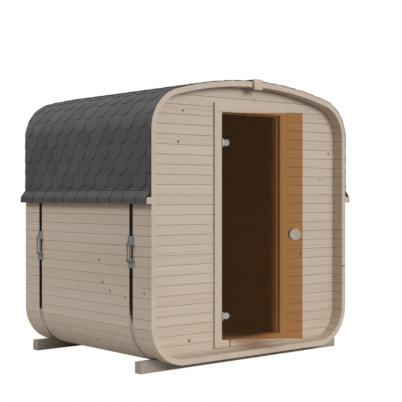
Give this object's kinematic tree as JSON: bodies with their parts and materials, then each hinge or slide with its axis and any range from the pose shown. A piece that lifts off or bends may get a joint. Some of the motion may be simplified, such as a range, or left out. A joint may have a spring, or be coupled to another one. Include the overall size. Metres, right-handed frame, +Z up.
{
  "type": "cube sauna",
  "caption": "Rounded-square timber sauna cabin on cradle skids, with steel bands, a tinted glass hinged door and a shingle roof cover.",
  "frame": {"origin": "the middle of the front skid's underside, on the ground", "axes": "+Z up, +Y from the glass door towards the rear wall, +X to the right of someone facing the door"},
  "size_m": [2.291, 2.1779, 2.315],
  "materials": {
    "pine": "planed softwood boards, unpainted",
    "skid_timber": "sawn softwood",
    "knob_wood": "turned and oiled",
    "shingle": "gritted bitumen shingle",
    "stainless": "bright rolled band",
    "hinge_metal": "satin",
    "tinted_glass": "bronze tinted toughened glass"
  },
  "bodies": {
    "cabin": {"skid_front": "skid_timber", "skid_rear": "skid_timber", "floor_boards": "pine", "bottom_corner_left": "pine", "bottom_corner_right": "pine", "side_wall_left": "pine", "side_wall_right": "pine", "top_corner_left": "pine", "top_corner_right": "pine", "roof_boards_left": "pine", "roof_boards_right": "pine", "ridge_block_front": "pine", "ridge_block_rear": "pine", "front_wall_left": "pine", "front_wall_right": "pine", "front_wall_over_door": "pine", "front_wall_under_door": "pine", "rear_wall": "pine", "door_jamb_left": "pine", "door_jamb_right": "pine", "door_header": "pine", "door_threshold": "pine", "eave_batten_left": "pine", "eave_batten_right": "pine", "cover_crown_left": "shingle", "cover_crown_right": "shingle", "cover_corner_left": "shingle", "cover_corner_right": "shingle", "cover_side_left": "shingle", "cover_side_right": "shingle", "band_front": "stainless", "band_rear": "stainless", "band_clamp_front_left": "stainless", "band_clamp_front_right": "stainless", "band_clamp_rear_left": "stainless", "band_clamp_rear_right": "stainless", "hinge_leaf_lower": "hinge_metal", "hinge_leaf_upper": "hinge_metal"},
    "door": {"door_glass": "tinted_glass", "hinge_clamp_lower": "hinge_metal", "hinge_clamp_upper": "hinge_metal", "door_knob_outer": "knob_wood", "door_knob_inner": "knob_wood"}
  },
  "joints": [
    {"name": "door_hinge", "type": "hinge", "parent": "cabin", "child": "door", "pos_m": [-0.303, -0.088, 1.1145], "axis": [0, 0, -1], "range_deg": [-37, 73]}
  ]
}
